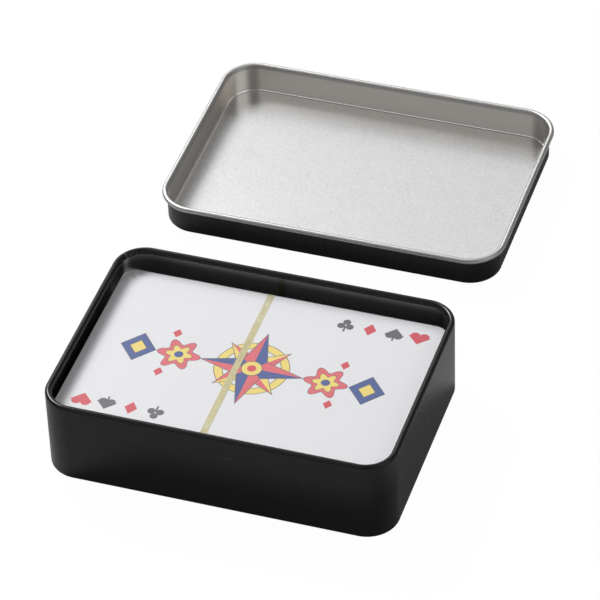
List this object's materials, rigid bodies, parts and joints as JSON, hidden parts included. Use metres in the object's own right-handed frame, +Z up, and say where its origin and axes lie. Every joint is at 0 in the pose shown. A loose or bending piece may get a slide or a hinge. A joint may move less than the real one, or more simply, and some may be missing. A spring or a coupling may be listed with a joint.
{
  "type": "playing card tin",
  "caption": "Low rectangular drawn tin with rolled rims, holding a film-wrapped deck of playing cards, with its slip lid lifted off and lying upside down behind it.",
  "frame": {"origin": "centre of the base's underside, on the table", "axes": "+X along the tin's long side, +Y from the base towards the lid lying behind it, +Z up"},
  "size_m": [0.0972, 0.1673, 0.024],
  "materials": {
    "black_lacquer": "satin",
    "bare_tinplate": "satin",
    "card_stock": "satin",
    "gold_tape": "gloss",
    "clear_film": "gloss"
  },
  "bodies": {
    "base": {"tin_base": "black_lacquer"},
    "pack": {"wrap_film": "clear_film", "tear_tape": "gold_tape", "king_of_hearts": "card_stock", "queen_of_hearts": "card_stock", "jack_of_hearts": "card_stock", "ten_of_hearts": "card_stock", "nine_of_hearts": "card_stock", "eight_of_hearts": "card_stock", "seven_of_hearts": "card_stock", "six_of_hearts": "card_stock", "five_of_hearts": "card_stock", "four_of_hearts": "card_stock", "three_of_hearts": "card_stock", "two_of_hearts": "card_stock", "ace_of_hearts": "card_stock", "king_of_clubs": "card_stock", "queen_of_clubs": "card_stock", "jack_of_clubs": "card_stock", "ten_of_clubs": "card_stock", "nine_of_clubs": "card_stock", "eight_of_clubs": "card_stock", "seven_of_clubs": "card_stock", "six_of_clubs": "card_stock", "five_of_clubs": "card_stock", "four_of_clubs": "card_stock", "three_of_clubs": "card_stock", "two_of_clubs": "card_stock", "ace_of_clubs": "card_stock", "king_of_diamonds": "card_stock", "queen_of_diamonds": "card_stock", "jack_of_diamonds": "card_stock", "ten_of_diamonds": "card_stock", "nine_of_diamonds": "card_stock", "eight_of_diamonds": "card_stock", "seven_of_diamonds": "card_stock", "six_of_diamonds": "card_stock", "five_of_diamonds": "card_stock", "four_of_diamonds": "card_stock", "three_of_diamonds": "card_stock", "two_of_diamonds": "card_stock", "ace_of_diamonds": "card_stock", "king_of_spades": "card_stock", "queen_of_spades": "card_stock", "jack_of_spades": "card_stock", "ten_of_spades": "card_stock", "nine_of_spades": "card_stock", "eight_of_spades": "card_stock", "seven_of_spades": "card_stock", "six_of_spades": "card_stock", "five_of_spades": "card_stock", "four_of_spades": "card_stock", "three_of_spades": "card_stock", "two_of_spades": "card_stock", "ace_of_spades": "card_stock", "second_joker": "card_stock", "first_joker": "card_stock"},
    "lid": {"tin_lid": "bare_tinplate"}
  },
  "joints": [
    {"name": "pack_lift", "type": "slide", "parent": "base", "child": "pack", "axis": [0, 0, 1], "range_m": [0, 0.03]},
    {"name": "lid_lift", "type": "slide", "parent": "base", "child": "lid", "axis": [0, 0, 1], "range_m": [0, 0.06]}
  ]
}
